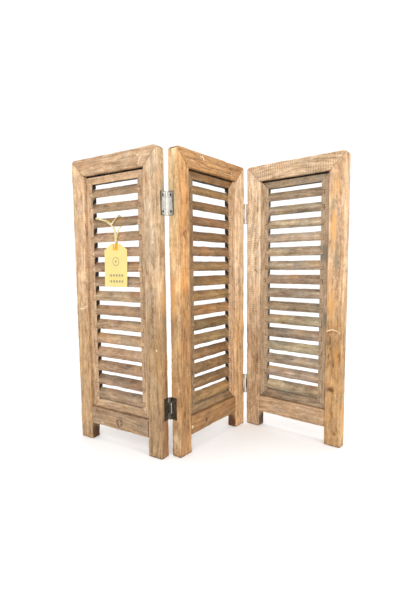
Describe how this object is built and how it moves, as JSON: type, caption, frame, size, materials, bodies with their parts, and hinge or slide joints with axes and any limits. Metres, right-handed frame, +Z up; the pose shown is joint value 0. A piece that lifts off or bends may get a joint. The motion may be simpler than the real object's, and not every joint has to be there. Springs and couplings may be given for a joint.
{
  "type": "folding screen",
  "caption": "Folding room divider of louvred wooden panels, each a mitred frame on feet with sloping slats, joined edge to edge by butt hinges, with a hang tag on a string.",
  "frame": {"origin": "middle of the standing screen's floor plan, on the floor, in the half-folded rest pose", "axes": "+Z up, the front faces -Y, +X towards the right panel"},
  "size_m": [0.6228, 0.1977, 0.67],
  "materials": {
    "left_frame_wood": "raw, worn and sawn",
    "middle_frame_wood": "raw, worn and sawn",
    "right_frame_wood": "raw, worn and sawn",
    "bottom_rail_wood": "raw, knotty, saw marked",
    "louvre_frame_wood": "raw, matt",
    "slat_wood": "raw, weathered grey-brown",
    "hinge_steel": "dull plated, lightly tarnished",
    "pin_steel": "dull",
    "screw_steel": "dull",
    "tag_card": "matt card",
    "patch_paper": "matt paper",
    "raffia": "dry plant fibre"
  },
  "bodies": {
    "middle_panel": {"middle_stile_left": "middle_frame_wood", "middle_stile_right": "middle_frame_wood", "middle_top_rail": "middle_frame_wood", "middle_bottom_rail": "bottom_rail_wood", "middle_louvre_stile_left": "louvre_frame_wood", "middle_louvre_stile_right": "louvre_frame_wood", "middle_louvre_rail_top": "louvre_frame_wood", "middle_louvre_rail_bottom": "louvre_frame_wood", "middle_slats": "slat_wood", "left_hinge_top_fixed_leaf": "hinge_steel", "left_hinge_top_pin": "pin_steel", "left_hinge_top_fixed_screw_lower": "screw_steel", "left_hinge_top_fixed_screw_upper": "screw_steel", "left_hinge_bottom_fixed_leaf": "hinge_steel", "left_hinge_bottom_pin": "pin_steel", "left_hinge_bottom_fixed_screw_lower": "screw_steel", "left_hinge_bottom_fixed_screw_upper": "screw_steel", "right_hinge_top_fixed_leaf": "hinge_steel", "right_hinge_top_pin": "pin_steel", "right_hinge_top_fixed_screw_lower": "screw_steel", "right_hinge_top_fixed_screw_upper": "screw_steel", "right_hinge_bottom_fixed_leaf": "hinge_steel", "right_hinge_bottom_pin": "pin_steel", "right_hinge_bottom_fixed_screw_lower": "screw_steel", "right_hinge_bottom_fixed_screw_upper": "screw_steel"},
    "left_panel": {"left_stile_left": "left_frame_wood", "left_stile_right": "left_frame_wood", "left_top_rail": "left_frame_wood", "left_bottom_rail": "bottom_rail_wood", "left_louvre_stile_left": "louvre_frame_wood", "left_louvre_stile_right": "louvre_frame_wood", "left_louvre_rail_top": "louvre_frame_wood", "left_louvre_rail_bottom": "louvre_frame_wood", "left_slats": "slat_wood", "left_hinge_top_moving_leaf": "hinge_steel", "left_hinge_top_moving_screw_lower": "screw_steel", "left_hinge_top_moving_screw_upper": "screw_steel", "left_hinge_bottom_moving_leaf": "hinge_steel", "left_hinge_bottom_moving_screw_lower": "screw_steel", "left_hinge_bottom_moving_screw_upper": "screw_steel", "hang_tag": "tag_card", "tag_patch": "patch_paper", "tag_string": "raffia"},
    "right_panel": {"right_stile_left": "right_frame_wood", "right_stile_right": "right_frame_wood", "right_top_rail": "right_frame_wood", "right_bottom_rail": "bottom_rail_wood", "right_louvre_stile_left": "louvre_frame_wood", "right_louvre_stile_right": "louvre_frame_wood", "right_louvre_rail_top": "louvre_frame_wood", "right_louvre_rail_bottom": "louvre_frame_wood", "right_slats": "slat_wood", "right_hinge_top_moving_leaf": "hinge_steel", "right_hinge_top_moving_screw_lower": "screw_steel", "right_hinge_top_moving_screw_upper": "screw_steel", "right_hinge_bottom_moving_leaf": "hinge_steel", "right_hinge_bottom_moving_screw_lower": "screw_steel", "right_hinge_bottom_moving_screw_upper": "screw_steel"}
  },
  "joints": [
    {"name": "left_fold", "type": "hinge", "parent": "middle_panel", "child": "left_panel", "pos_m": [-0.09317, -0.08029, 0.335], "axis": [0, 0, 1], "range_deg": [-97, 83]},
    {"name": "right_fold", "type": "hinge", "parent": "middle_panel", "child": "right_panel", "pos_m": [0.11147, 0.08277, 0.335], "axis": [0, 0, 1], "range_deg": [-90, 90]}
  ]
}
